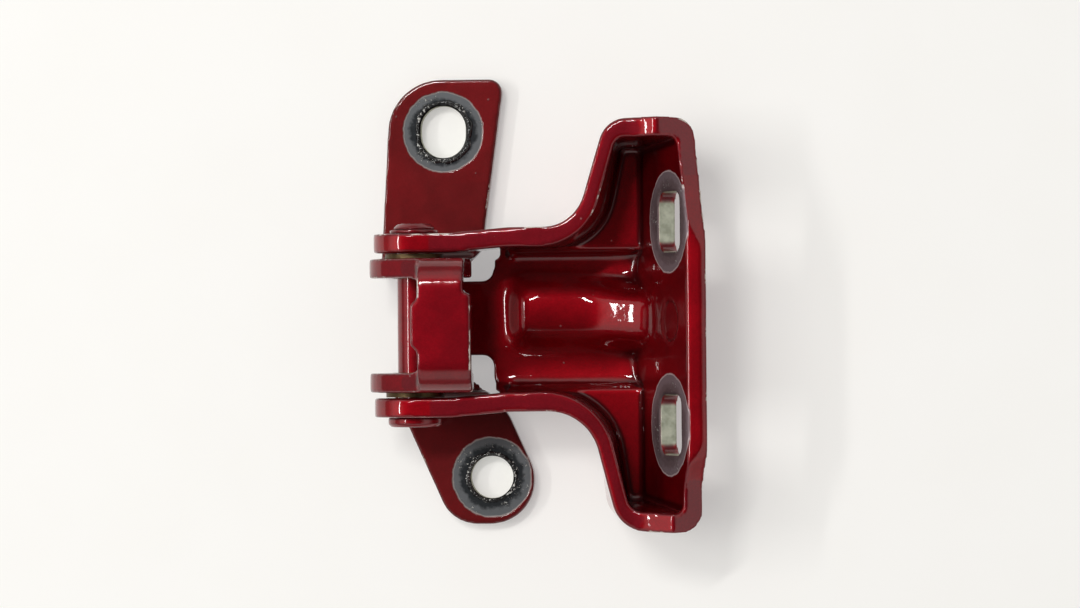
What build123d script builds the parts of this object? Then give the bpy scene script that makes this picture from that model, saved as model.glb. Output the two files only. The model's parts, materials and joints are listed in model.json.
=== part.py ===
from build123d import *
import os
from math import acos, atan2, cos, hypot, radians, sin, tan

# Car door hinge: two thick pressed-steel leaves on one riveted pin. The pin axis runs along Y, the door
# leaf's ears and the body leaf's floor share the seat plane z = 0, and the body leaf's plate leans at +X.

# Sheet and pin
sheet = 4.6
pin_diameter = 8.0
pin_height = 18.5
running_clearance = 0.05

# Bushes in the door leaf
bush_wall = 1.0
bush_flange_diameter = 13.4
bush_flange = 1.0
end_play = 0.1

# Pin ends
head_diameter = 12.6
head_thickness = 2.2
head_edge = 0.7
washer_diameter = 11.2
washer_thickness = 0.9
rivet_diameter = 9.6
rivet_height = 1.4
rivet_edge = 1.0

# Door leaf: hat section with the web on top, flanges down to two flat ears
flange_out = 15.4
web_reach = 19.1
web_bend = 7.1
web_left = 2.1
web_right = 14.3
web_notch = 1.7
web_notch_from = 7.3
tab_reach = 1.6
tab_half_width = 4.5
door_lug_radius = 10.4
flange_shoulder = (13.9, 23.0)
flange_waist = 10.4
waist_foot_round = 3.0
waist_round = 8.0
flange_heel = 6.0
web_start_round = 2.0
ear_bend = 2.2
upper_ear = dict(left=-9.0, foot=12.6, right=14.6, left_end=-6.5, right_end=20.0, end=57.2, round_left=12.4, round_right=3.2)
lower_ear = dict(left=-6.6, foot=15.6, right=17.6, left_end=7.1, right_end=31.9, end=46.2, round_left=9.0, round_right=10.2)
lower_shoulder = (20.4, -20.6)
shoulder_round = 10.0
upper_hole = (5.7, 45.0)
upper_hole_width = 10.4
upper_hole_length = 12.0
lower_hole = (16.4, -35.3)
lower_hole_diameter = 9.8

# Body leaf: pressed pan with two arms, two flared wings and a slanted mounting plate
body_lug_radius = 9.4
plate_tilt = 66.5
plate_foot = 53.6
arm_joggle = 1.2
joggle_from = 9.0
joggle_to = 22.0
joggle_bend = 25.0
stem_bend = 4.5
arm_rim = 28.8
rim_middle = 37.6
rim_upper = 31.2
rim_lower = 33.8
rim_height = 38.0
rim_step_upper = (18.0, 42.0)
rim_step_lower = (-29.0, -37.0)
rim_step_bends = (16.0, 10.0)
rise_back = 14.0
rise_run = 10.0
rise_height = 4.4
rise_bend = 12.0
wing_rise = 2.9
wing_back = 26.6
wing_bend_out = 4.0
wing_bend_in = 1.5
flare_wall = 3.2
corner_in = 1.7
foot_bend_out = 6.5
foot_bend_in = 3.0
coining = 0.1

# Flared wings. Each pair is the value at the foot and at the rim: how far the flare stands back from the
# plate's foot at the arm and at the end, the wing's reach along Y, and the corner radii.
lower_flare = dict(arm=(13.1, 13.4), end=(10.6, 4.7), reach=(45.0, 48.3), arm_round=(11.0, 12.0), end_round=(5.4, 9.0))
upper_flare = dict(arm=(14.6, 16.7), end=(10.7, 8.2), reach=(44.8, 47.8), arm_round=(9.0, 10.0), end_round=(5.4, 7.0))
plate_corner = 5.4

# Front of the body leaf's floor: strip, stop tongue and the gap the door leaf's ears pass under
strip_edge = 17.0
strip_half_width = 13.4
strip_corner = 1.2
underpass_edge = 21.5
underpass_round = 6.0
tongue_tip = 5.3
tongue_low = -7.0
tongue_clearance = 0.5
tongue_root = 2.5

# Raised stiffening bead, from behind the strip to a gusset on the plate. Each station along X gives the
# centre's Y, half the width at the foot and at the top, and the top's height over the floor.
bead_start = dict(x=20.4, centre=2.9, half_foot=7.6, half_top=6.6, height=0.1)
bead_rise = dict(x=24.0, centre=2.9, half_foot=9.1, half_top=4.6, height=3.8)
bead_run = dict(x=40.5, centre=2.7, half_foot=9.1, half_top=4.4, height=3.8)
gusset_foot = dict(x=52.6, centre=1.4, half_foot=7.8, half_top=5.2, height=8.0)
gusset_nose = dict(x=57.5, centre=1.4, half_foot=4.0, half_top=2.0, height=13.5)
bead_wall_lean = 1.7
bead_hollow_end = 47.5

# Round coined mark between the square holes
mark_diameter = 10.6
mark_depth = 0.4
mark_centre = 0.6

# Square bolt holes in the plate
square_hole = 13.6
square_hole_round = 3.0
square_hole_height = 23.0
square_hole_half_spacing = 23.2

arm_in = flange_out + bush_flange + end_play
arm_out = arm_in + sheet
web_top = pin_height + web_reach
bush_diameter = pin_diameter + 2 * (running_clearance + bush_wall)
underpass = pin_height - body_lug_radius
tongue_high = flange_out - sheet - tongue_clearance
far = 200.0


def outline(points, radii, plane=Plane.XY):
    """Face bounded by straight runs whose corners are rounded."""
    return plane * make_face(FilletPolyline(*points, radius=radii, close=True))


def slab(points, radii, plane, amount, both=False):
    """Prism on an outline, along the plane's normal."""
    return extrude(outline(points, radii, plane), amount=amount, both=both)


def rod(diameter, y_from, y_to):
    """Round bar along the pin axis between two Y places."""
    middle = (y_from + y_to) / 2
    return Pos(0, middle, pin_height) * Rot(90, 0, 0) * Cylinder(diameter / 2, abs(y_to - y_from))


def intersect_lines(a, b):
    """Crossing of two lines, each given by a point and a direction."""
    (px, py), (ux, uy) = a
    (qx, qy), (vx, vy) = b
    t = ((qx - px) * vy - (qy - py) * vx) / (ux * vy - uy * vx)
    return px + t * ux, py + t * uy


def inset(points, radii, moves):
    """Outline with each side moved inward by its own amount; corners keep their sheet thickness."""
    count = len(points)
    sides = []
    for i, move in enumerate(moves):
        (ax, ay), (bx, by) = points[i], points[(i + 1) % count]
        length = hypot(bx - ax, by - ay)
        ux, uy = (bx - ax) / length, (by - ay) / length
        sides.append(((ax - uy * move, ay + ux * move), (ux, uy)))
    corners = [intersect_lines(sides[i - 1], sides[i]) for i in range(count)]
    rounds = []
    for i, radius in enumerate(radii):
        (_, u), (_, v) = sides[i - 1], sides[i]
        turns_left = u[0] * v[1] - u[1] * v[0] > 0
        rounds.append(0 if radius == 0 else max(radius - sheet, corner_in) if turns_left else radius + sheet)
    return corners, rounds


def touch(point, radius, side):
    """Where a line from a point in the XZ plane touches a circle about the pin axis."""
    dx, dz = point[0], point[1] - pin_height
    turn = atan2(dz, dx) + side * acos(radius / hypot(dx, dz))
    return radius * cos(turn), pin_height + radius * sin(turn)


def leaning(level, foot):
    """X of a plane parallel to the mounting plate, at a height."""
    return foot + level / tan(radians(plate_tilt))


def wing_plan(level):
    """Outer outline of the pan's two wings and plate at a height, with each corner's radius."""
    share = (level - wing_rise) / (rim_height - wing_rise)
    plate = leaning(level, plate_foot + coining)

    def at(pair):
        return pair[0] + (pair[1] - pair[0]) * share

    corners = []
    for flare, side in ((lower_flare, -1), (upper_flare, 1)):
        arm_y, end_y = arm_joggle + side * arm_out, side * at(flare["reach"])
        half = [
            (plate_foot - wing_back, arm_y, 0.0),
            (plate_foot - at(flare["arm"]), arm_y, at(flare["arm_round"])),
            (plate_foot - at(flare["end"]), end_y, at(flare["end_round"])),
            (plate, end_y, plate_corner),
        ]
        corners += half if side < 0 else half[::-1]
    return [(x, y) for x, y, _ in corners], [r for _, _, r in corners]


def at_height(plan, level):
    return Pos(0, 0, level) * outline(*plan)


def foot_edges(solid, level, x_from):
    """Edges of a block's flat bottom, right of a place."""
    flat = solid.edges().filter_by(lambda e: e.bounding_box().size.Z < 1e-3)
    return [e for e in flat if abs(e.center().Z - level) < 1e-3 and e.center().X > x_from]


def channel(half_width, level, foot, bend, foot_bend):
    """Straight trough under the arms with rounded bottom corners; it ends at the plate's plane."""
    plan = [
        (-far, -half_width),
        (joggle_from, -half_width),
        (joggle_to, arm_joggle - half_width),
        (far, arm_joggle - half_width),
        (far, arm_joggle + half_width),
        (joggle_to, arm_joggle + half_width),
        (joggle_from, half_width),
        (-far, half_width),
    ]
    bends = [0, joggle_bend, joggle_bend, 0, 0, joggle_bend, joggle_bend, 0]
    block = slab(plan, bends, Plane.XY.offset(level), rim_height - level)
    sides = [e for e in foot_edges(block, level, -far + 1) if e.center().X < far - 1]
    block = fillet(sides, bend)
    lean = [(-far, level), (leaning(level, foot), level), (leaning(rim_height, foot), rim_height), (-far, rim_height)]
    return block & slab(lean, [0, foot_bend, 0, 0], Plane.XZ, far, both=True)


def make_pan():
    """Pan pressed from one sheet: floor, arms, flared wings and the slanted plate."""
    across = sheet / sin(radians(plate_tilt))
    foot_walls = [sheet, sheet, sheet, across + coining, sheet, sheet, sheet, 0]
    rim_walls = [sheet, flare_wall, sheet, across + coining, sheet, flare_wall, sheet, 0]
    wing_floor = wing_rise + sheet
    wings_from = plate_foot - wing_back + 0.1

    outer = loft([at_height(wing_plan(wing_rise), wing_rise), at_height(wing_plan(rim_height), rim_height)], ruled=True)
    outer = fillet(foot_edges(outer, wing_rise, wings_from), wing_bend_out)
    hollow = loft(
        [
            at_height(inset(*wing_plan(wing_floor), foot_walls), wing_floor),
            at_height(inset(*wing_plan(rim_height), rim_walls), rim_height),
        ],
        ruled=True,
    )
    hollow = fillet(foot_edges(hollow, wing_floor, wings_from), wing_bend_in)
    outer += channel(arm_out, 0, plate_foot + coining, stem_bend + sheet, foot_bend_out)
    hollow += channel(arm_in, sheet, plate_foot - across, stem_bend, foot_bend_in)
    return outer - hollow


def plate_plane(level):
    """Plane on the plate's inner face at a height: x along Y, y up the plate, normal outward."""
    tilt = radians(plate_tilt)
    across = sheet / sin(tilt)
    origin = (leaning(level, plate_foot - across), 0, level)
    return Plane(origin=origin, x_dir=(0, 1, 0), z_dir=(sin(tilt), 0, -cos(tilt)))


def side_profile():
    """Side view of the arms: round lugs about the pin, level rim, then up to the plate's rim."""
    rise_from = leaning(arm_rim, plate_foot) - rise_back
    points = [
        (0, -1),
        (far, -1),
        (far, rim_height),
        (rise_from + rise_run, arm_rim + rise_height),
        (rise_from, arm_rim),
        (0, pin_height + body_lug_radius),
    ]
    lugs = Plane.XZ * Pos(0, pin_height) * Circle(body_lug_radius)
    return outline(points, [0, 0, 0, 0, rise_bend, 0], Plane.XZ) + lugs


def plate_rim():
    """Outline of everything below the plate's stepped upper rim, in the plane of its inner face."""
    upper, lower = rim_step_bends
    points = [
        (-far, -far),
        (far, -far),
        (far, rim_upper),
        (rim_step_upper[1], rim_upper),
        (rim_step_upper[0], rim_middle),
        (rim_step_lower[0], rim_middle),
        (rim_step_lower[1], rim_lower),
        (-far, rim_lower),
    ]
    return points, [0, 0, 0, upper, upper, lower, lower, 0]


def bead(spread, drop, bottom):
    """Hump through the bead's stations, narrowed and lowered by given amounts."""
    sections = []
    for station in (bead_start, bead_rise, bead_run, gusset_foot, gusset_nose):
        centre, top = station["centre"], sheet + station["height"] - drop
        half_foot, half_top = station["half_foot"] - spread, station["half_top"] - spread
        points = [
            (centre - half_foot, bottom),
            (centre + half_foot, bottom),
            (centre + half_foot, sheet - drop),
            (centre + half_top, top),
            (centre - half_top, top),
            (centre - half_foot, sheet - drop),
        ]
        across = Plane(origin=(station["x"], 0, 0), x_dir=(0, 1, 0), z_dir=(1, 0, 0))
        sections.append(across * make_face(Polyline(*points, close=True)))
    return loft(sections, ruled=True)


def make_body_leaf():
    body = make_pan()
    body &= extrude(side_profile(), amount=far, both=True)
    rim_points, rim_rounds = plate_rim()
    body &= slab(rim_points, rim_rounds, plate_plane(0), far, both=True)

    below = slab(
        [(-far, -1), (underpass_edge, -1), (underpass_edge, underpass), (-far, underpass)],
        [0, 0, underpass_round, 0],
        Plane.XZ,
        far,
        both=True,
    )
    strip = [
        (far, -strip_half_width),
        (far, strip_half_width),
        (strip_edge, strip_half_width),
        (strip_edge, tongue_high),
        (tongue_tip, tongue_high),
        (tongue_tip, tongue_low),
        (strip_edge, tongue_low),
        (strip_edge, -strip_half_width),
    ]
    strip_rounds = [0, 0, strip_corner, tongue_root, strip_corner, strip_corner, tongue_root, strip_corner]
    body -= below - slab(strip, strip_rounds, Plane.XY.offset(-2), underpass + 4)

    low, high = leaning(-sheet, plate_foot), leaning(far, plate_foot)
    seat_side = slab([(-far, -sheet), (low, -sheet), (high, far), (-far, far)], 0, Plane.XZ, far, both=True)
    hollow_side = Pos(bead_hollow_end - far / 2, 0, 0) * Box(far, far, far)
    body = (body + bead(0, 0, sheet / 2)) & seat_side
    body -= bead(bead_wall_lean, sheet, -sheet) & hollow_side

    on_plate = plate_plane(square_hole_height)
    for side in (-1, 1):
        hole = on_plate * Pos(side * square_hole_half_spacing, 0) * RectangleRounded(
            square_hole, square_hole, square_hole_round
        )
        body -= extrude(hole, amount=2 * sheet, both=True)
    body -= extrude(on_plate * Pos(mark_centre, 0) * Circle(mark_diameter / 2), amount=mark_depth)
    return body - rod(pin_diameter, -far, far)


def make_door_leaf():
    flange_in = flange_out - sheet
    section = [
        (-far, sheet),
        (-flange_out, sheet),
        (-flange_out, web_top),
        (flange_out, web_top),
        (flange_out, sheet),
        (far, sheet),
        (far, 0),
        (flange_in, 0),
        (flange_in, web_top - sheet),
        (-flange_in, web_top - sheet),
        (-flange_in, 0),
        (-far, 0),
    ]
    under_bend = ear_bend + sheet
    web_bend_in = web_bend - sheet
    bends = [0, ear_bend, web_bend, web_bend, ear_bend, 0, 0, under_bend, web_bend_in, web_bend_in, under_bend, 0]
    hat = slab(section, bends, Plane.YZ, far, both=True)

    straight = sheet + ear_bend
    leaf = None
    for ear, side in ((upper_ear, 1), (lower_ear, -1)):
        right = web_right - web_notch if side > 0 else web_right
        left_foot = (ear["left"], straight)
        left_top = (web_left, web_top - sheet)
        flange = [
            (ear["left"], 0),
            (ear["foot"], 0),
            (flange_waist, straight / 2),
            (flange_waist, pin_height - sheet),
            flange_shoulder,
            (right, web_top - 1.5 * sheet),
            (right, web_top),
            (web_left, web_top),
            left_top,
            touch(left_top, door_lug_radius, 1),
            touch(left_foot, door_lug_radius, -1),
            left_foot,
        ]
        rounds = [0, 0, waist_foot_round, waist_round, waist_round, flange_heel, 0, 0, web_start_round, 0, 0, flange_heel]
        face = outline(flange, rounds, Plane.XZ)
        face += Plane.XZ * Pos(0, pin_height) * Circle(door_lug_radius)
        zone = extrude(face, amount=-side * flange_out)
        ear_points = [
            (ear["left"], side * flange_out),
            (ear["left_end"], side * ear["end"]),
            (ear["right_end"], side * ear["end"]),
            (ear["right"], side * (flange_out + ear_bend)),
            (ear["foot"], side * flange_out),
        ]
        ear_rounds = [0, ear["round_left"], ear["round_right"], 1.5, 0]
        if side < 0:
            ear_points.insert(3, lower_shoulder)
            ear_rounds.insert(3, shoulder_round)
        zone += slab(ear_points, ear_rounds, Plane.XY.offset(-1), straight + 1)
        half = hat & zone
        leaf = half if leaf is None else leaf + half

    leaf += slab(
        [
            (web_left + 1, -tab_half_width - tab_reach),
            (web_left, -tab_half_width - tab_reach),
            (web_left - tab_reach, -tab_half_width),
            (web_left - tab_reach, tab_half_width),
            (web_left, tab_half_width + tab_reach),
            (web_left + 1, tab_half_width + tab_reach),
        ],
        0,
        Plane.XY.offset(web_top - sheet),
        sheet,
    )
    leaf += slab(
        [(web_left + 2, 0), (web_right, 0), (web_right, web_notch_from), (web_left + 2, web_notch_from)],
        [0, 0, 0.8, 0],
        Plane.XY.offset(web_top - sheet),
        sheet,
    )
    oval = Pos(*upper_hole) * Rot(0, 0, 90) * SlotOverall(upper_hole_length, upper_hole_width)
    round_hole = Pos(*lower_hole) * Circle(lower_hole_diameter / 2)
    leaf -= extrude(oval + round_hole, amount=far, both=True)
    return leaf - rod(bush_diameter, -far, far)


def make_bush(side):
    bush = rod(bush_diameter, side * (flange_out - sheet), side * flange_out)
    bush += rod(bush_flange_diameter, side * flange_out, side * (flange_out + bush_flange))
    return bush - rod(pin_diameter + 2 * running_clearance, -far, far)


def make_pin():
    head = rod(head_diameter, -arm_out, -arm_out - head_thickness)
    head = chamfer(head.edges().group_by(Axis.Y)[0], head_edge)
    seat = arm_out + washer_thickness
    rivet = rod(rivet_diameter, seat, seat + rivet_height)
    rivet = chamfer(rivet.edges().group_by(Axis.Y)[-1], rivet_edge)
    return head + rod(pin_diameter, -arm_out, seat) + rivet


def make_washer():
    return rod(washer_diameter, arm_out, arm_out + washer_thickness) - rod(pin_diameter, -far, far)


pieces = {
    "body_leaf": make_body_leaf(),
    "door_leaf": make_door_leaf(),
    "hinge_pin": make_pin(),
    "upper_bush": make_bush(1),
    "lower_bush": make_bush(-1),
    "rivet_washer": make_washer(),
}

# The assembly stands on the middle of its bounding box's floor
box = Compound(children=[Compound(piece.wrapped) for piece in pieces.values()]).bounding_box()
seat = Pos(-(box.min.X + box.max.X) / 2, -(box.min.Y + box.max.Y) / 2, 0)
os.makedirs("parts", exist_ok=True)
for name, piece in pieces.items():
    export_step((seat * piece).solids()[0], f"parts/{name}.step")
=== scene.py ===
import bmesh
import bpy
import json
import math
import numpy as np
from mathutils import Matrix, Vector, noise
from mathutils.bvhtree import BVHTree


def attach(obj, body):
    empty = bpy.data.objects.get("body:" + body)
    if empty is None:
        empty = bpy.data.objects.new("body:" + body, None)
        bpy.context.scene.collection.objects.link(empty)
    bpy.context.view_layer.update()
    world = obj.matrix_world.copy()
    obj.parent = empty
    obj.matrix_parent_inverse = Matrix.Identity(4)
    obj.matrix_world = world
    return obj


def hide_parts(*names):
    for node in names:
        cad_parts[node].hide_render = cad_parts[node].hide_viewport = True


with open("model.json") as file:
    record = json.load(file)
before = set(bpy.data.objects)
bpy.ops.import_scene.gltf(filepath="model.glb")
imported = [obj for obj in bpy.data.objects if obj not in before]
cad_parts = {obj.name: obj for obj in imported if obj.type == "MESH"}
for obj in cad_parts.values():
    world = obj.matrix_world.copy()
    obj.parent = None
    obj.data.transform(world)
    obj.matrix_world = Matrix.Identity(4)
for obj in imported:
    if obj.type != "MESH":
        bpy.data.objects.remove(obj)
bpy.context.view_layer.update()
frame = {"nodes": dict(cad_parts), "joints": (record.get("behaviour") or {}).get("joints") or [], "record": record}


# Body leaf: the pressed-steel pan with two arms that is bolted to the body pillar through its slanted plate.
# It is deep-drawn from 4.6 mm sheet, dipped in primer and sprayed with the car's own candy red, which rounds
# every sheared edge and runs a little in the bends. The bolts' flanges have worn grey rings into the plate.
MM = 0.001
sheet_mm = 4.6
mounts = {mount["name"]: mount for mount in frame["record"]["mounts"]}
pin = Vector(frame["joints"][0]["pos_m"])
pin_foot = Vector((pin.x, pin.y, 0.0))


def linear(hex_colour):
    """Linear RGBA of an sRGB hex colour."""
    channels = [int(hex_colour[i : i + 2], 16) / 255 for i in (1, 3, 5)]
    return [c / 12.92 if c <= 0.04045 else ((c + 0.055) / 1.055) ** 2.4 for c in channels] + [1.0]


def add(tree, kind, *inputs, named=None, **settings):
    """A shader node with its settings. Its inputs come in the order that the node shows them, or by name.

    An input is a value, a hex colour, a node's output, or a node, which stands for its first output.
    """
    node = tree.nodes.new("ShaderNode" + kind)
    for name, value in settings.items():
        setattr(node, name, value)
    shown = [socket for socket in node.inputs if socket.enabled]
    pairs = list(zip(shown, inputs)) + [(node.inputs[name], value) for name, value in (named or {}).items()]
    for socket, value in pairs:
        if isinstance(value, bpy.types.Node):
            value = next(output for output in value.outputs if output.enabled)
        if isinstance(value, bpy.types.NodeSocket):
            tree.links.new(value, socket)
        else:
            socket.default_value = linear(value) if isinstance(value, str) else value
    return node


def edge_ends(mesh):
    """The two vertices of each edge of a mesh, as two arrays."""
    ends = np.zeros(len(mesh.edges) * 2, int)
    mesh.edges.foreach_get("vertices", ends)
    return ends.reshape(-1, 2).T


def at_vertices(mesh, what):
    """Each vertex's place ("co") or the way its surface faces ("normal"), a row each."""
    values = np.zeros(len(mesh.vertices) * 3)
    mesh.vertices.foreach_get(what, values)
    return values.reshape(-1, 3)


def spread_out(ends, values, rounds):
    """Values at a mesh's vertices, evened out over their neighbours."""
    a, b = ends
    count = len(values)
    links = np.bincount(a, minlength=count) + np.bincount(b, minlength=count)
    for _ in range(rounds):
        around = np.bincount(a, values[b], count) + np.bincount(b, values[a], count)
        values = 0.5 * values + 0.5 * around / links
    return values


def rounded_copy(node_name, name, voxel_mm, rounds, added_blocks):
    """A copy of a CAD node and of blocks joined to it, remeshed in voxels, with its edges rounded."""
    weld_mm = 0.001
    bm = bmesh.new()
    bm.from_mesh(frame["nodes"][node_name].data)
    bmesh.ops.remove_doubles(bm, verts=bm.verts, dist=weld_mm * MM)
    for low, high in added_blocks:
        low, high = Vector(low) * MM + pin_foot, Vector(high) * MM + pin_foot
        size = Matrix.Diagonal((*(high - low), 1.0))
        bmesh.ops.create_cube(bm, size=1.0, matrix=Matrix.Translation((low + high) / 2) @ size)
    mesh = bpy.data.meshes.new(name)
    bm.to_mesh(mesh)
    bm.free()
    piece = bpy.data.objects.new(name, mesh)
    bpy.context.scene.collection.objects.link(piece)
    remesh = piece.modifiers.new("voxels", "REMESH")
    remesh.mode = "VOXEL"
    remesh.voxel_size = voxel_mm * MM
    smooth = piece.modifiers.new("round", "SMOOTH")
    smooth.factor = 0.5
    smooth.iterations = rounds
    depsgraph = bpy.context.evaluated_depsgraph_get()
    piece.data = bpy.data.meshes.new_from_object(piece.evaluated_get(depsgraph))
    piece.modifiers.clear()
    piece.data.shade_smooth()
    return piece


def convexity(ends, place, normal):
    """How convex the surface is at each vertex, per mm: positive on an edge, negative in a bend."""
    a, b = ends
    count = len(place)
    step = (place[b] - place[a]) / MM
    length2 = (step**2).sum(1) + 1e-12
    bend = np.bincount(a, -2 * (normal[a] * step).sum(1) / length2, count)
    bend += np.bincount(b, 2 * (normal[b] * step).sum(1) / length2, count)
    bend /= np.bincount(a, minlength=count) + np.bincount(b, minlength=count)
    return spread_out(ends, bend, 3)


def sheared_faces(mesh, ends, place, normal):
    """1 at the vertices of the sheet's sheared faces, 0 elsewhere.

    A ray into the metal comes out within the sheet's own thickness, unless it starts on a sheared face.
    """
    sheared_from, sheared_to, start = 14.0, 18.0, 0.3
    solid = BVHTree.FromPolygons(place.tolist(), [list(face.vertices) for face in mesh.polygons])
    depth = np.zeros(len(place))
    for i in range(len(place)):
        inward = Vector(-normal[i])
        distance = solid.ray_cast(Vector(place[i]) + inward * start * MM, inward)[3]
        depth[i] = 0 if distance is None else distance / MM
    return spread_out(ends, np.clip((depth - sheared_from) / (sheared_to - sheared_from), 0, 1), 4)


def pressed_and_painted(node_name, name, voxel_mm, rounds, lump_mm, added_blocks=(), soft_zone=None):
    """A copy of a CAD node with edges rounded as a thick coat rounds them, and the coat's slight lumps.

    Blocks are joined to it, each from its lowest to its highest corner in mm from the pin. In the soft zone,
    given the same way with the width of its fading border, the bends are rounded as a deep draw rounds them.
    Each vertex gets "edge", how convex the surface is there, and "cut", 1 on the sheared faces.
    """
    piece = rounded_copy(node_name, name, voxel_mm, rounds, added_blocks)
    mesh = piece.data
    ends = edge_ends(mesh)
    place = at_vertices(mesh, "co")
    if soft_zone:
        low, high, border_mm, zone_rounds = soft_zone
        from_pin = (place - np.array(pin_foot)) / MM
        inside = np.minimum(from_pin - np.array(low), np.array(high) - from_pin).min(1)
        share = np.clip(inside / border_mm, 0, 1)[:, None]
        for _ in range(zone_rounds):
            even = np.stack([spread_out(ends, place[:, k], 1) for k in range(3)], 1)
            place += share * (even - place)
        mesh.vertices.foreach_set("co", place.ravel())
        mesh.update()
    normal = at_vertices(mesh, "normal")
    bend = convexity(ends, place, normal)
    cut = sheared_faces(mesh, ends, place, normal)
    for key, values in (("edge", bend), ("cut", cut)):
        mesh.attributes.new(key, "FLOAT", "POINT").data.foreach_set("value", values.astype(np.float32))

    # lumps about 7 mm and 2.5 mm across, always into the metal so that the size stays
    wide_mm, narrow_mm = 7.0, 2.5
    wide_share, narrow_share = 0.36, 0.14
    for i in range(len(place)):
        at = Vector(place[i]) / MM
        lump = 0.5 + wide_share * noise.noise(at / wide_mm) + narrow_share * noise.noise(at / narrow_mm)
        place[i] -= normal[i] * lump * lump_mm * MM
    mesh.vertices.foreach_set("co", place.ravel())
    mesh.update()
    return piece


# the bar's corners beside the arms, above and below the stem, which the photograph shows filled
strip_corners = [
    ((17.4, 11.0, 0.9), (22.5, 15.4, 4.6)),
    ((18.6, 15.0, 0.9), (22.5, 19.0, 4.6)),
    ((17.4, -15.4, 0.9), (22.5, -12.5, 4.6)),
    ((18.6, -17.0, 0.9), (22.5, -15.0, 4.6)),
]
# the deep-drawn floor with its bead, a border of 4 mm, and the rounds of smoothing
drawn_floor = ((18.0, -13.5, 2.0), (58.0, 16.0, 23.0), 4.0, 110)
body_leaf = pressed_and_painted("body_leaf", "body_leaf_pressing", 0.45, 6, 0.12, strip_corners, drawn_floor)
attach(body_leaf, "body_side")
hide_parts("body_leaf")

# settings that the nodes below share
EASED = {"interpolation_type": "SMOOTHSTEP"}
COLOUR = {"data_type": "RGBA"}
TIMES = {"operation": "MULTIPLY"}


def blots(size_mm):
    """Scale of a noise whose blots are about a given size across."""
    return 1 / (2 * size_mm * MM)


def worn_rings(tree, place, rings):
    """Masks of the bolts' seating rings and of the holes' bare walls, and how far out in the ring a point is.

    A ring is given by its mount, its radius, the hole's radius and the seat's height over the mount's point.
    """
    soft_mm, wobble_mm = 0.2, 0.16
    wobble = add(tree, "TexNoise", place, blots(1.2), 2.0, 0.6)
    wobble = add(tree, "MapRange", wobble, 0.2, 0.8, -wobble_mm, wobble_mm, **EASED)
    joined = None
    for mount, ring_mm, hole_mm, seat_mm in rings:
        axis = mounts[mount]["axis"]
        from_hole = add(tree, "VectorMath", place, mounts[mount]["pos_m"], operation="SUBTRACT")
        height = add(tree, "VectorMath", from_hole, axis, operation="DOT_PRODUCT")
        height = add(tree, "Math", height, 1 / MM, **TIMES)
        across = add(tree, "VectorMath", from_hole, axis, operation="CROSS_PRODUCT")
        radius = add(tree, "VectorMath", across, operation="LENGTH")
        radius = add(tree, "Math", radius, 1 / MM, **TIMES)
        ragged = add(tree, "Math", radius, wobble, operation="ADD")
        # the seat's face, from 0.5 mm under it to 1 mm over it
        above = add(tree, "MapRange", height, seat_mm - 0.7, seat_mm - 0.4, **EASED)
        under = add(tree, "MapRange", height, seat_mm + 1.2, seat_mm + 0.8, **EASED)
        on_seat = add(tree, "Math", above, under, **TIMES)
        within = add(tree, "MapRange", ragged, ring_mm + soft_mm, ring_mm - soft_mm, **EASED)
        seat = add(tree, "Math", on_seat, within, **TIMES)
        # the hole's wall, through the sheet's thickness
        foot_mm = seat_mm - sheet_mm
        through = add(tree, "MapRange", height, foot_mm, foot_mm + 0.3, **EASED)
        below = add(tree, "Math", through, above, operation="SUBTRACT")
        close = add(tree, "MapRange", radius, hole_mm + 1.1, hole_mm + 0.8, **EASED)
        wall = add(tree, "Math", close, below, **TIMES)
        past_hole = add(tree, "Math", ragged, hole_mm, operation="SUBTRACT")
        outward = add(tree, "Math", past_hole, ring_mm - hole_mm, operation="DIVIDE")
        masks = (seat, wall, outward)
        if joined is None:
            joined = masks
        else:
            joined = [
                add(tree, "Math", one, other, operation=operation)
                for one, other, operation in zip(joined, masks, ("MAXIMUM", "MAXIMUM", "MINIMUM"))
            ]
    return joined


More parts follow.
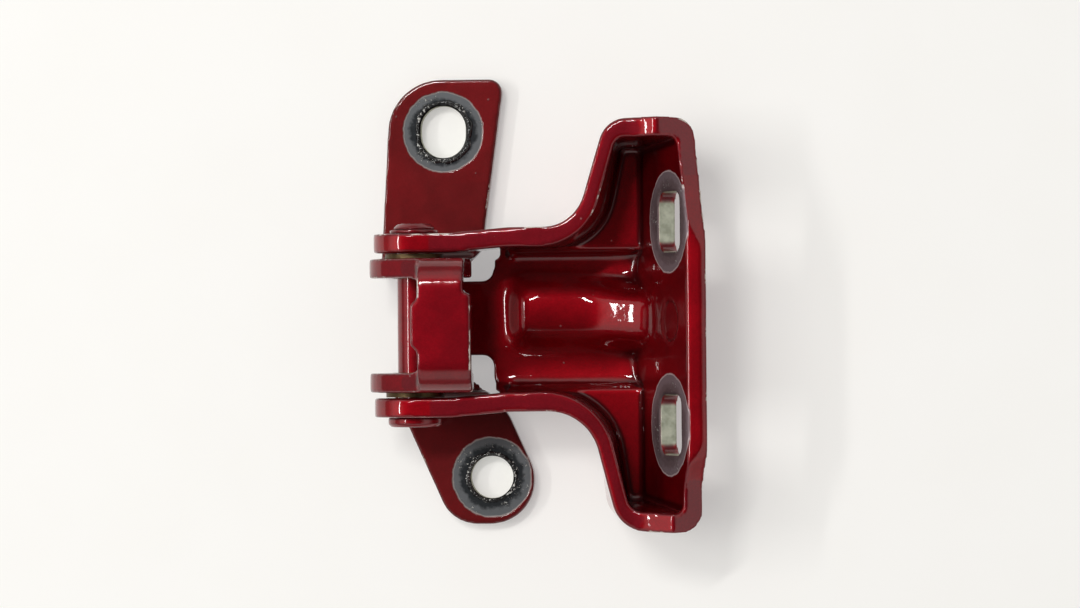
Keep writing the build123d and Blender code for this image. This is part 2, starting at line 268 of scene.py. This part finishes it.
def candy_paint(name, base_hex, deep_hex, cut_hex, haze, rings=(), ring_tones=()):
    """Candy red metallic paint: a tinted clear over a bright metallic ground, so light comes back deep red.

    It gives a glassy red that is bright where it faces the light and dark where it leans away, with sharp
    reflections. It is duller where dust and road grime have settled on it.
    """
    material = bpy.data.materials.new(name)
    material.use_nodes = True
    tree = material.node_tree
    tree.nodes.clear()
    place = add(tree, "TexCoord").outputs["Object"]
    edge = add(tree, "Attribute", attribute_name="edge").outputs["Fac"]
    cut = add(tree, "Attribute", attribute_name="cut").outputs["Fac"]

    # the tint lies thicker in clouds about 8 mm across and thinner on cuts and edges; the bends are darkened
    # towards the deep red, partly as tint pooled there and partly as painted shade
    cloud = add(tree, "TexNoise", place, blots(8.0), 4.0, 0.6)
    thick = add(tree, "MapRange", cloud, 0.3, 0.7, **EASED)
    thick = add(tree, "MapRange", thick, 0.0, 1.0, 0.4, 0.0, **EASED)
    colour = add(tree, "Mix", thick, base_hex, deep_hex, **COLOUR)
    bend_pooling_and_shade = add(tree, "MapRange", edge, -0.04, -0.22, **EASED)
    colour = add(tree, "Mix", bend_pooling_and_shade, colour, deep_hex, **COLOUR)
    on_cut = add(tree, "MapRange", cut, 0.4, 0.9, 0.0, 0.7, **EASED)
    colour = add(tree, "Mix", on_cut, colour, cut_hex, **COLOUR)
    on_edge = add(tree, "MapRange", edge, 0.2, 0.6, 0.0, 0.6, **EASED)
    colour = add(tree, "Mix", on_edge, colour, cut_hex, **COLOUR)
    # aluminium flakes, drawn 0.3 mm across so that they show
    flakes = add(tree, "TexVoronoi", place, 1 / (0.3 * MM)).outputs["Color"]
    glint = add(tree, "MapRange", add(tree, "SeparateColor", flakes), 0.0, 1.0, 0.93, 1.08, **EASED)
    colour = add(tree, "Mix", 1.0, colour, glint, blend_type="MULTIPLY", **COLOUR)

    # stone chips down to pale primer, 0.4 to 1.2 mm, in a few places along the sharp edges; these pale flecks are
    # partly painted glints on the edges
    chips_and_glints = add(tree, "Math", edge, add(tree, "TexNoise", place, blots(0.8), 4.0, 0.6), **TIMES)
    chips_and_glints = add(tree, "MapRange", chips_and_glints, 0.30, 0.33, **EASED)
    struck = add(tree, "TexNoise", place, blots(5.0), 2.0, 0.6)
    chips_and_glints = add(tree, "Math", chips_and_glints, add(tree, "MapRange", struck, 0.60, 0.64, **EASED), **TIMES)
    # lint and grit caught in the clear coat: one grain in each 4 mm or so; its pale tint is partly a painted glint
    grains = add(tree, "TexVoronoi", place, 1 / (4.0 * MM))
    grain = add(tree, "MapRange", grains, 0.075, 0.05, **EASED)
    chosen = add(tree, "SeparateColor", grains.outputs["Color"]).outputs["Green"]
    grit = add(tree, "Math", grain, add(tree, "MapRange", chosen, 0.5, 0.6, **EASED), **TIMES)
    # the grains tinted pale: partly grit, partly painted glints
    colour = add(tree, "Mix", add(tree, "Math", grit, 0.35, **TIMES), colour, "#b08a88", **COLOUR)
    # the pale flecks along the edges: chipped primer, and painted glints as well
    colour = add(tree, "Mix", chips_and_glints, colour, "#c9bdb4", **COLOUR)
    # road dust baked on the surfaces that lie lowest, browner and without depth
    low = add(tree, "SeparateXYZ", place).outputs["Z"]
    dust = add(tree, "MapRange", low, 9 * MM, 6 * MM, 0.0, haze, **EASED)
    colour = add(tree, "Mix", dust, colour, "#4a2622", **COLOUR)
    dull = add(tree, "TexNoise", place, blots(3.0), 5.0, 0.6)
    dull = add(tree, "MapRange", dull, 0.35, 0.75, 0.0, 0.3 * haze, **EASED)
    rough = add(tree, "MapRange", chips_and_glints, 0.0, 1.0, 0.5, 0.6, **EASED)
    rough = add(tree, "Math", rough, dull, operation="ADD")
    metallic = add(tree, "MapRange", chips_and_glints, 0.0, 1.0, 0.85, 0.0, **EASED)
    coat = add(tree, "MapRange", chips_and_glints, 0.0, 1.0, 1.0, 0.0, **EASED)

    # orange peel of a sprayed coat, about 1.5 mm from crest to crest, with the grit standing proud of it
    peel = add(tree, "Math", add(tree, "TexNoise", place, blots(0.75), 1.0, 0.6), 0.02, **TIMES)
    height = add(tree, "Math", peel, add(tree, "Math", grit, 0.05, **TIMES), operation="ADD")
    height = add(tree, "Math", height, add(tree, "Math", chips_and_glints, 0.08, **TIMES), operation="SUBTRACT")

    if rings:
        seat, wall, outward = worn_rings(tree, place, rings)
        # steel rubbed bare: dark and greasy at the hole, greyer outwards, with a pale line at the paint
        at_hole, inner, outer, outline = ring_tones
        streak = add(tree, "TexNoise", place, blots(0.8), 5.0, 0.6)
        streak = add(tree, "MapRange", streak, 0.2, 0.8, -0.14, 0.14, **EASED)
        streak = add(tree, "Math", outward, streak, operation="ADD")
        off_hole = add(tree, "MapRange", streak, 0.16, 0.3, **EASED)
        bare = add(tree, "Mix", off_hole, at_hole, inner, **COLOUR)
        half_out = add(tree, "MapRange", streak, 0.42, 0.72, **EASED)
        bare = add(tree, "Mix", half_out, bare, outer, **COLOUR)
        at_paint = add(tree, "MapRange", outward, 0.9, 0.97, **EASED)
        bare = add(tree, "Mix", at_paint, bare, outline, **COLOUR)
        # pale crumbs of old sealer, in a few places
        crumbs = add(tree, "TexNoise", place, blots(0.35), 3.0, 0.6)
        crumbs = add(tree, "MapRange", crumbs, 0.60, 0.66, **EASED)
        places = add(tree, "TexNoise", place, blots(3.0), 2.0, 0.6)
        places = add(tree, "MapRange", places, 0.5, 0.6, **EASED)
        crumbs = add(tree, "Math", crumbs, places, **TIMES)
        bare = add(tree, "Mix", add(tree, "Math", crumbs, 0.8, **TIMES), bare, "#c4c4be", **COLOUR)
        # the zinc of the hole's wall, pale and greenish
        mottle = add(tree, "TexNoise", place, blots(1.2), 2.0, 0.6)
        mottle = add(tree, "MapRange", mottle, 0.3, 0.7, **EASED)
        zinc = add(tree, "Mix", mottle, "#9b9d8c", "#c0c2b0", **COLOUR)
        colour = add(tree, "Mix", seat, colour, bare, **COLOUR)
        colour = add(tree, "Mix", wall, colour, zinc, **COLOUR)
        worn = add(tree, "Math", seat, wall, operation="MAXIMUM")
        rough = add(tree, "Mix", worn, rough, 0.48, data_type="FLOAT")
        metallic = add(tree, "Mix", worn, metallic, 0.5, data_type="FLOAT")
        kept = add(tree, "MapRange", worn, 0.0, 1.0, 1.0, 0.0, **EASED)
        coat = add(tree, "Math", coat, kept, **TIMES)
        standing = add(tree, "Math", add(tree, "Math", crumbs, seat, **TIMES), 0.15, **TIMES)
        height = add(tree, "Math", height, standing, operation="ADD")
        height = add(tree, "Math", height, add(tree, "Math", seat, 0.1, **TIMES), operation="SUBTRACT")

    relief = add(tree, "Bump", named={"Strength": 1.0, "Distance": MM, "Height": height})
    finish = {
        "Base Color": colour,
        "Metallic": metallic,
        "Roughness": rough,
        "Specular IOR Level": 0.0,
        "Coat Weight": coat,
        "Coat Roughness": 0.03 + 0.15 * haze,
        "Normal": relief,
        "Coat Normal": relief,
    }
    add(tree, "OutputMaterial", add(tree, "BsdfPrincipled", named=finish))
    return material


body_red, deep_red, sheared_red, clean = "#940815", "#4e030a", "#6a1620", 0.06
plate_rings = [("upper_plate_bolt_hole", 11.8, 7.2, 0.0), ("lower_plate_bolt_hole", 11.8, 7.2, 0.0)]
plate_tones = ("#5c4e50", "#6a5a5c", "#7c6c70", "#c4b4b4")
paint_name = "candy red metallic paint on the body leaf"
body_paint = candy_paint(paint_name, body_red, deep_red, sheared_red, clean, plate_rings, plate_tones)
body_leaf.data.materials.clear()
body_leaf.data.materials.append(body_paint)


# Door leaf: the hat-shaped pressing with a web, two flanges and two flat ears, bolted to the door. It is
# folded from the same sheet and painted with the door. Its ears lie open to the road, so they are duller.
door_leaf = pressed_and_painted("door_leaf", "door_leaf_pressing", 0.45, 6, 0.1)
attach(door_leaf, "door_side")
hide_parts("door_leaf")
ear_top_mm = sheet_mm / 2
slot_half_width_mm, slot_half_length_mm, round_hole_mm = 5.2, 6.0, 4.9
door_red, deep_red, sheared_red, dusty = "#8a0a18", "#560a12", "#6a1620", 0.45
ear_rings = [
    ("upper_ear_bolt_slot", 9.4, 5.4, ear_top_mm),
    ("lower_ear_bolt_hole", 9.3, round_hole_mm, ear_top_mm),
]
ear_tones = ("#141414", "#2b2d2f", "#606264", "#8f8885")
paint_name = "candy red metallic paint on the door leaf"
door_paint = candy_paint(paint_name, door_red, deep_red, sheared_red, dusty, ear_rings, ear_tones)
door_leaf.data.materials.clear()
door_leaf.data.materials.append(door_paint)


# Sealer round the ear holes: body sealer squeezed out from under the bolt flanges and baked hard, which
# stands in a ragged bead close to the hole. It is black and glossy, with grit in it.
def sealer_bead(name, mount, half_width_mm, half_length_mm, bead_mm, lump_at, seed):
    """A ragged bead round an ear's hole; it is widest and highest at one angle."""
    around, across = 144, (-1.0, -0.6, -0.2, 0.2, 0.6, 1.0)
    sunk_mm = 0.12
    waves, crumbs_round, grains_per_mm = 3.1, 11.0, 1.7
    centre = Vector(mounts[mount]["pos_m"]) + Vector((0, 0, sheet_mm / 2 * MM))
    bm = bmesh.new()
    rings = []
    for i in range(around):
        angle = 2 * math.pi * i / around
        turn = Vector((math.cos(angle), math.sin(angle), 0))
        ragged = noise.noise(turn * waves + Vector((seed, 0, 0)))
        crumbs = noise.noise(turn * crumbs_round + Vector((0, seed, 0)))
        swell = 0.5 + 0.5 * math.cos(angle - lump_at)
        half = bead_mm * (0.55 + 0.3 * swell + 0.3 * ragged + 0.2 * crumbs)
        rise = half * (0.35 + 0.35 * swell + 0.25 * crumbs)
        middle = bead_mm * 0.9 + 0.35 * ragged
        ring = []
        for share in across:
            out = middle + share * half
            x = turn.x * (half_width_mm + out)
            y = turn.y * (half_width_mm + out) + math.copysign(half_length_mm - half_width_mm, turn.y)
            grain = 0.18 * noise.noise(Vector((x, y, seed)) * grains_per_mm)
            z = max((rise + grain) * (1 - share**2), 0.0) - sunk_mm
            ring.append(bm.verts.new(centre + Vector((x, y, z)) * MM))
        rings.append(ring)
    for i in range(around):
        first, second = rings[i], rings[(i + 1) % around]
        for k in range(len(across) - 1):
            bm.faces.new((first[k], second[k], second[k + 1], first[k + 1]))
        bm.faces.new((first[-1], second[-1], second[0], first[0]))
    bmesh.ops.recalc_face_normals(bm, faces=bm.faces)
    mesh = bpy.data.meshes.new(name)
    bm.to_mesh(mesh)
    bm.free()
    mesh.shade_smooth()
    piece = bpy.data.objects.new(name, mesh)
    bpy.context.scene.collection.objects.link(piece)
    finer = piece.modifiers.new("finer", "SUBSURF")
    finer.levels = finer.render_levels = 1
    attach(piece, "door_side")
    return piece


# the grit lies in patches about 2.5 mm across and gives the black a sparkle
sealer = bpy.data.materials.new("black body sealer with grit")
sealer.use_nodes = True
tree = sealer.node_tree
tree.nodes.clear()
place = add(tree, "TexCoord").outputs["Object"]
patch = add(tree, "TexNoise", place, blots(2.5), 2.0, 0.6)
patch = add(tree, "MapRange", patch, 0.46, 0.56, **EASED)
grit = add(tree, "TexNoise", place, blots(0.4), 2.0, 0.6)
grit = add(tree, "MapRange", grit, 0.56, 0.62, **EASED)
grit = add(tree, "Math", grit, patch, **TIMES)
tone = add(tree, "TexNoise", place, blots(1.0), 2.0, 0.6)
tone = add(tree, "MapRange", tone, 0.3, 0.7, **EASED)
tone = add(tree, "Mix", tone, "#101010", "#262525", **COLOUR)
tone = add(tree, "Mix", grit, tone, "#b5b5b0", **COLOUR)
rough = add(tree, "MapRange", grit, 0.0, 1.0, 0.16, 0.5, **EASED)
relief = add(tree, "Bump", named={"Strength": 1.0, "Distance": 0.12 * MM, "Height": grit})
finish = {"Base Color": tone, "Roughness": rough, "Normal": relief}
add(tree, "OutputMaterial", add(tree, "BsdfPrincipled", named=finish))
slot, round_hole = (slot_half_width_mm, slot_half_length_mm), (round_hole_mm, round_hole_mm)
upper_lump, lower_lump = math.radians(-50), math.radians(165)
upper_ear_sealer = sealer_bead("upper_ear_sealer", "upper_ear_bolt_slot", *slot, 1.0, upper_lump, 2.7)
lower_ear_sealer = sealer_bead("lower_ear_sealer", "lower_ear_bolt_hole", *round_hole, 0.7, lower_lump, 6.3)
upper_ear_sealer.data.materials.append(sealer)
lower_ear_sealer.data.materials.append(sealer)


# Hinge pin and washer: a headed steel pin, put through from below and riveted over a washer at the top.
# Both were painted with the leaves after assembly, in a thinner coat.
pin_paint = candy_paint("thin candy red paint on the pin", "#8a0c18", "#560810", "#6a1620", 0.2)
for node_name, name in (("hinge_pin", "hinge_pin_forging"), ("rivet_washer", "rivet_washer_ring")):
    piece = pressed_and_painted(node_name, name, 0.25, 5, 0.05)
    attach(piece, "body_side")
    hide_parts(node_name)
    piece.data.materials.clear()
    piece.data.materials.append(pin_paint)


# Bushes: flanged bearings of sintered bronze, pressed into the door leaf's flanges. The metal's grains and
# the oil in its pores leave it brown and dull.
bronze = bpy.data.materials.new("sintered bronze with oil")
bronze.use_nodes = True
tree = bronze.node_tree
tree.nodes.clear()
place = add(tree, "TexCoord").outputs["Object"]
grains = add(tree, "TexNoise", place, blots(0.3), 4.0, 0.6)
tone = add(tree, "Mix", grains, "#33281d", "#7d6746", **COLOUR)
finish = {"Base Color": tone, "Metallic": 0.9, "Roughness": 0.45}
add(tree, "OutputMaterial", add(tree, "BsdfPrincipled", named=finish))
for name in ("upper_bush", "lower_bush"):
    frame["nodes"][name].data.materials.clear()
    frame["nodes"][name].data.materials.append(bronze)


# Paper floor: a sheet of white paper under the hinge, as in the photograph. It shows the eye a share of plain
# white, so that it is as pale as the photograph's and the shadow stays.
half_paper, under_hinge_mm, plain_white_share = 0.9, 0.02, 0.35
mesh = bpy.data.meshes.new("paper")
corners = [(-1, -1), (1, -1), (1, 1), (-1, 1)]
mesh.from_pydata([(x * half_paper, y * half_paper, 0) for x, y in corners], [], [(0, 1, 2, 3)])
paper = bpy.data.objects.new("paper", mesh)
paper.location.z = -under_hinge_mm * MM
bpy.context.scene.collection.objects.link(paper)
white = bpy.data.materials.new("white paper")
white.use_nodes = True
tree = white.node_tree
tree.nodes.clear()
place = add(tree, "TexCoord").outputs["Object"]
fibres = add(tree, "TexNoise", place, blots(15.0), 2.0, 0.6)
sheet = add(tree, "Mix", fibres, "#f4f1ea", "#f8f6f1", **COLOUR)
matt = add(tree, "BsdfPrincipled", named={"Base Color": sheet, "Roughness": 0.9})
path = add(tree, "LightPath")
seen = add(tree, "Math", path.outputs["Is Camera Ray"], path.outputs["Is Glossy Ray"], operation="MAXIMUM")
seen = add(tree, "Math", seen, path.outputs["Is Transmission Ray"], operation="MAXIMUM")
seen = add(tree, "Math", seen, plain_white_share, **TIMES)
add(tree, "OutputMaterial", add(tree, "MixShader", seen, matt, add(tree, "Emission", "#ffffff", 1.0)))
paper.data.materials.append(white)


# Light: two narrow windows that leave short glints, a soft white ceiling, and a pale room
def window(name, place, size, watts):
    """A lamp that shines on the hinge from a place."""
    lamp = bpy.data.lights.new(name, "AREA")
    lamp.shape = "RECTANGLE"
    lamp.size, lamp.size_y = size
    lamp.energy = watts
    holder = bpy.data.objects.new(name, lamp)
    holder.location = place
    holder.rotation_euler = (-Vector(place)).to_track_quat("-Z", "Y").to_euler()
    bpy.context.scene.collection.objects.link(holder)
    return holder


window("left window", (-0.75, 0.1, 0.85), (0.4, 0.05), 2.4)
window("roof window", (-0.3, 0.45, 1.3), (0.35, 0.05), 5.0)
# the ceiling lights into the pan, but the paint shows no picture of it
ceiling = window("ceiling", (-0.5, 0.2, 1.4), (1.1, 1.1), 8.0)
ceiling.visible_glossy = False

# Room: a pale one, whose lit walls show in the paint half-way up. The camera and the dark over it do not.
world = bpy.data.worlds.new("pale room")
bpy.context.scene.world = world
world.use_nodes = True
tree = world.node_tree
tree.nodes.clear()
height = add(tree, "SeparateXYZ", add(tree, "TexCoord").outputs["Generated"]).outputs["Z"]
lit_walls = add(tree, "MapRange", height, 0.2, 0.5, 0.25, 1.0, **EASED)
under_ceiling = add(tree, "MapRange", height, 0.9, 0.72, 0.03, 0.9, **EASED)
walls = add(tree, "Math", lit_walls, under_ceiling, **TIMES)
path = add(tree, "LightPath")
level = add(tree, "Mix", path.outputs["Is Glossy Ray"], 0.36, walls, data_type="FLOAT")
plain = path.outputs["Is Camera Ray"], path.outputs["Is Transmission Ray"]
level = add(tree, "Mix", add(tree, "Math", *plain, operation="MAXIMUM"), level, 1.0, data_type="FLOAT")
add(tree, "OutputWorld", add(tree, "Background", "#fbfaf7", level))


# Camera: the photograph was taken from about 1.2 m straight above a point 107 mm to the right of the pin,
# with the hinge turned half a degree on the paper
eye = Vector((pin.x + 107.5 * MM, pin.y - 2.9 * MM, 1.2))
target = Vector((0.0, 0.0, 16 * MM))
forward = (target - eye).normalized()
roll = Matrix.Rotation(math.radians(0.5), 3, forward)
right = roll @ forward.cross(Vector((0, 1, 0))).normalized()
up = right.cross(forward)
camera = bpy.data.objects.new("camera", bpy.data.cameras.new("camera"))
camera.data.sensor_width = 36.0
camera.data.lens = 172.0
camera.data.clip_start = 0.01
camera.matrix_world = Matrix.Translation(eye) @ Matrix((right, up, -forward)).transposed().to_4x4()
bpy.context.scene.collection.objects.link(camera)
bpy.context.scene.camera = camera
bpy.context.scene.view_settings.view_transform = "Standard"
